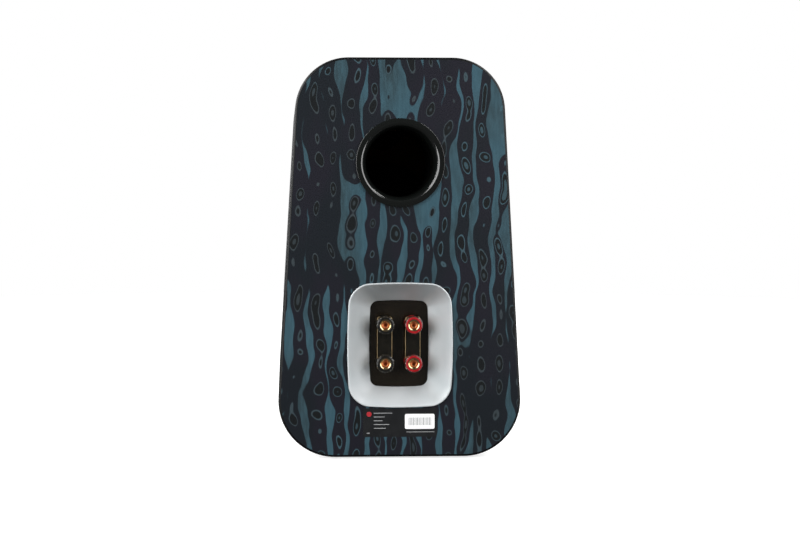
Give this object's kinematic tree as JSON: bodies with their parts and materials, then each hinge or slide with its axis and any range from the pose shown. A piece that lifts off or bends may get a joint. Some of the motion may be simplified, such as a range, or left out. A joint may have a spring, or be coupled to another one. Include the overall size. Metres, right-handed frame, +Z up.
{
  "type": "bookshelf speaker",
  "caption": "Three-way bookshelf speaker: tapered round-cornered cabinet in glossy dyed veneer, rear bass port, recessed silver terminal dish with gold binding posts.",
  "frame": {"origin": "middle of the footprint on the surface that the speaker stands on", "axes": "+Z up, -Y out of the front baffle, +Y out of the terminal side, +X to the right when seen from the front"},
  "size_m": [0.2428, 0.3, 0.4],
  "materials": {
    "veneer": "high gloss over dyed figured veneer, dark navy with teal streaks",
    "brace_board": "raw fibreboard",
    "felt": "grey wool felt",
    "foot_rubber": "matt black rubber",
    "port_gloss": "gloss black moulded",
    "satin_silver": "satin silver paint",
    "terminal_plate": "gloss dark brown-black",
    "link_metal": "gold plated",
    "gold": "polished gold plate",
    "clear_black": "clear over black",
    "clear_red": "clear over red",
    "cast_frame": "satin black powder coat",
    "cone_paper": "coated black pulp",
    "roll_rubber": "satin black rubber",
    "spider_cloth": "resin treated cotton",
    "copper": "enamelled copper wire",
    "plated_steel": "zinc plated",
    "ferrite": "dark sintered ferrite",
    "chamber_plastic": "black moulded",
    "silk": "coated black silk",
    "circuit_board": "green laminate",
    "film": "yellow film wrap"
  },
  "bodies": {
    "root": {"cabinet_wrap": "veneer", "front_baffle": "veneer", "rear_panel": "veneer", "window_brace": "brace_board", "damping_pad": "felt", "foot_front_left": "foot_rubber", "foot_front_right": "foot_rubber", "foot_rear_left": "foot_rubber", "foot_rear_right": "foot_rubber", "port_flare": "port_gloss", "port_tube": "port_gloss", "terminal_bezel": "satin_silver", "terminal_plate": "terminal_plate", "jumper_link_negative": "link_metal", "jumper_link_positive": "link_metal", "woofer_basket": "cast_frame", "woofer_surround": "roll_rubber", "woofer_spider": "spider_cloth", "woofer_top_plate": "plated_steel", "woofer_magnet": "ferrite", "woofer_yoke": "plated_steel", "mid_basket": "cast_frame", "mid_surround": "roll_rubber", "mid_motor": "ferrite", "mid_chamber": "chamber_plastic", "tweeter_faceplate": "cast_frame", "tweeter_motor": "ferrite", "crossover_board": "circuit_board", "woofer_inductor": "copper", "mid_inductor": "copper", "mid_capacitor": "film", "tweeter_capacitor": "film", "stud_high_negative": "gold", "collar_high_negative": "clear_black", "stud_high_positive": "gold", "collar_high_positive": "clear_red", "stud_low_negative": "gold", "collar_low_negative": "clear_black", "stud_low_positive": "gold", "collar_low_positive": "clear_red"},
    "woofer_moving": {"woofer_cone": "cone_paper", "woofer_dust_cap": "cone_paper", "woofer_voice_coil": "copper"},
    "mid_moving": {"mid_cone": "cone_paper", "mid_dust_cap": "cone_paper", "mid_voice_coil": "copper"},
    "tweeter_moving": {"tweeter_dome": "silk"},
    "post_washer_high_negative": {"washer_high_negative": "gold"},
    "post_cap_high_negative": {"cap_core_high_negative": "gold", "cap_sleeve_high_negative": "clear_black"},
    "post_washer_high_positive": {"washer_high_positive": "gold"},
    "post_cap_high_positive": {"cap_core_high_positive": "gold", "cap_sleeve_high_positive": "clear_red"},
    "post_washer_low_negative": {"washer_low_negative": "gold"},
    "post_cap_low_negative": {"cap_core_low_negative": "gold", "cap_sleeve_low_negative": "clear_black"},
    "post_washer_low_positive": {"washer_low_positive": "gold"},
    "post_cap_low_positive": {"cap_core_low_positive": "gold", "cap_sleeve_low_positive": "clear_red"}
  },
  "joints": [
    {"name": "woofer_excursion", "type": "slide", "parent": "root", "child": "woofer_moving", "axis": [0, -1, 0], "range_m": [-0.006, 0.006], "stiffness_N_per_m": 1400, "deforming": ["woofer_surround", "woofer_spider"]},
    {"name": "mid_excursion", "type": "slide", "parent": "root", "child": "mid_moving", "axis": [0, -1, 0], "range_m": [-0.003, 0.003], "stiffness_N_per_m": 1500, "deforming": ["mid_surround"]},
    {"name": "tweeter_excursion", "type": "slide", "parent": "root", "child": "tweeter_moving", "axis": [0, -1, 0], "range_m": [-0.0003, 0.0003], "stiffness_N_per_m": 7500},
    {"name": "lift_high_negative", "type": "slide", "parent": "root", "child": "post_washer_high_negative", "axis": [0, 1, 0], "range_m": [0, 0.005]},
    {"name": "turn_high_negative", "type": "hinge", "parent": "post_washer_high_negative", "child": "post_cap_high_negative", "pos_m": [0.01425, 0.1376, 0.1339], "axis": [0, 1, 0], "range_deg": [0, 1800.5]},
    {"name": "lift_high_positive", "type": "slide", "parent": "root", "child": "post_washer_high_positive", "axis": [0, 1, 0], "range_m": [0, 0.005]},
    {"name": "turn_high_positive", "type": "hinge", "parent": "post_washer_high_positive", "child": "post_cap_high_positive", "pos_m": [-0.01425, 0.1376, 0.1339], "axis": [0, 1, 0], "range_deg": [0, 1800.5]},
    {"name": "lift_low_negative", "type": "slide", "parent": "root", "child": "post_washer_low_negative", "axis": [0, 1, 0], "range_m": [0, 0.005]},
    {"name": "turn_low_negative", "type": "hinge", "parent": "post_washer_low_negative", "child": "post_cap_low_negative", "pos_m": [0.01425, 0.1376, 0.0953], "axis": [0, 1, 0], "range_deg": [0, 1800.5]},
    {"name": "lift_low_positive", "type": "slide", "parent": "root", "child": "post_washer_low_positive", "axis": [0, 1, 0], "range_m": [0, 0.005]},
    {"name": "turn_low_positive", "type": "hinge", "parent": "post_washer_low_positive", "child": "post_cap_low_positive", "pos_m": [-0.01425, 0.1376, 0.0953], "axis": [0, 1, 0], "range_deg": [0, 1800.5]}
  ],
  "couplings": [
    {"joint": "turn_high_negative", "follows": "lift_high_negative", "rad_per_m": 6283.2},
    {"joint": "turn_high_positive", "follows": "lift_high_positive", "rad_per_m": 6283.2},
    {"joint": "turn_low_negative", "follows": "lift_low_negative", "rad_per_m": 6283.2},
    {"joint": "turn_low_positive", "follows": "lift_low_positive", "rad_per_m": 6283.2}
  ]
}
